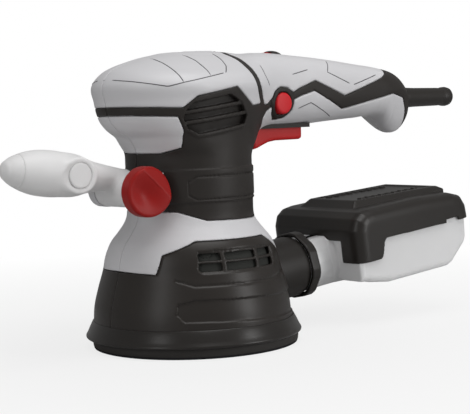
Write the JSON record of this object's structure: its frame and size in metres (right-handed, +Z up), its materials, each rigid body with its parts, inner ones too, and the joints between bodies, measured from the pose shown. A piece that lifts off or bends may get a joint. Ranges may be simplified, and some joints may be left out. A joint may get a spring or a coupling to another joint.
{
  "type": "random orbit sander polisher",
  "caption": "Random-orbit sander-polisher with round pad, flared skirt, D-shaped rear handle, clamped front side handle and a slide-on dust box with lift-off lid.",
  "frame": {"origin": "on the motor axis at the pad's working face", "axes": "+Z up along the motor axis, +X to the rear handle and dust box, -Y the side with the lock button and clamp knob"},
  "size_m": [0.3581, 0.131, 0.1757],
  "materials": {
    "grey_shell": "satin moulded light grey",
    "soft_grip": "matte moulded soft grip",
    "black_plastic": "satin moulded black",
    "rubber": "matte black rubber",
    "cast_metal": "die cast",
    "lamination": "stacked steel sheet",
    "copper": "enamelled copper",
    "steel": "ground steel",
    "inner_plastic": "glass filled nylon",
    "carbon": "pressed carbon",
    "board": "circuit board",
    "foam": "closed cell foam",
    "hook_fabric": "hook fastener fabric",
    "red_plastic": "satin moulded red",
    "side_grey": "satin moulded pale grey",
    "clear_white": "milky translucent",
    "filter_paper": "pleated paper"
  },
  "bodies": {
    "housing": {"housing_left": "grey_shell", "housing_right": "grey_shell", "grip_left": "soft_grip", "grip_right": "soft_grip", "skirt_left": "black_plastic", "skirt_right": "black_plastic", "brake_ring": "rubber", "dust_outlet": "black_plastic", "bearing_bracket": "cast_metal", "field_stator": "lamination", "field_windings": "copper", "lower_bearing": "steel", "upper_bearing": "steel", "brush_plate": "inner_plastic", "carbon_brushes": "carbon", "brush_springs": "steel", "switch_body": "inner_plastic", "speed_board": "board", "trigger_seal": "rubber", "cord_sleeve": "rubber", "cord_clamp": "inner_plastic", "handle_bracket": "grey_shell", "clamp_nut": "steel"},
    "rotor": {"motor_shaft": "steel", "armature": "lamination", "commutator": "copper", "double_fan": "inner_plastic", "counterweight": "cast_metal", "pad_bearing": "steel"},
    "pad": {"pad_hub": "cast_metal", "pad_plate": "black_plastic", "pad_foam": "foam", "hook_face": "hook_fabric", "pad_bolt": "steel"},
    "trigger": {"trigger": "red_plastic", "trigger_spring": "steel"},
    "lock_button": {"lock_button": "red_plastic", "button_spring": "steel"},
    "speed_dial": {"speed_dial": "black_plastic"},
    "side_handle": {"side_grip": "side_grey", "side_cap": "side_grey", "side_plugs": "side_grey"},
    "clamp_knob": {"clamp_knob": "red_plastic", "clamp_stud": "steel"},
    "dust_box": {"dust_bin": "clear_white"},
    "lock_ring": {"lock_ring": "black_plastic"},
    "dust_lid": {"dust_lid": "black_plastic", "filter_frame": "black_plastic", "filter_paper": "filter_paper"}
  },
  "joints": [
    {"name": "motor_spin", "type": "hinge", "parent": "housing", "child": "rotor", "pos_m": [0, 0, 0.08], "axis": [0, 0, 1], "continuous": true},
    {"name": "pad_spin", "type": "hinge", "parent": "rotor", "child": "pad", "pos_m": [0.00125, 0, 0.02], "axis": [0, 0, 1], "continuous": true},
    {"name": "trigger_press", "type": "hinge", "parent": "housing", "child": "trigger", "pos_m": [0.0495, 0, 0.1336], "axis": [0, -1, 0], "range_deg": [0, 6], "stiffness_Nm_per_rad": 1.2, "springref_deg": -4.58, "deforming": ["trigger_spring"]},
    {"name": "lock_press", "type": "slide", "parent": "housing", "child": "lock_button", "axis": [0, 1, 0], "range_m": [0, 0.003], "stiffness_N_per_m": 700, "springref_m": -0.002, "deforming": ["button_spring"]},
    {"name": "dial_turn", "type": "hinge", "parent": "housing", "child": "speed_dial", "pos_m": [0.062, 0, 0.1646], "axis": [0, 1, 0], "range_deg": [0, 270]},
    {"name": "side_handle_tilt", "type": "hinge", "parent": "housing", "child": "side_handle", "pos_m": [-0.0492, 0, 0.0955], "axis": [0, 1, 0], "range_deg": [-30, 30]},
    {"name": "knob_turn", "type": "hinge", "parent": "housing", "child": "clamp_knob", "pos_m": [-0.0492, 0, 0.0955], "axis": [0, 1, 0], "range_deg": [0, 360]},
    {"name": "dust_box_slide", "type": "slide", "parent": "housing", "child": "dust_box", "axis": [0.9936, 0, 0.1132], "range_m": [0, 0.05]},
    {"name": "ring_turn", "type": "hinge", "parent": "dust_box", "child": "lock_ring", "pos_m": [0.08381, 0, 0.03928], "axis": [0.9936, 0, 0.1132], "range_deg": [0, 45]},
    {"name": "lid_lift", "type": "slide", "parent": "dust_box", "child": "dust_lid", "axis": [-0.1132, 0, 0.9936], "range_m": [0, 0.03]}
  ]
}
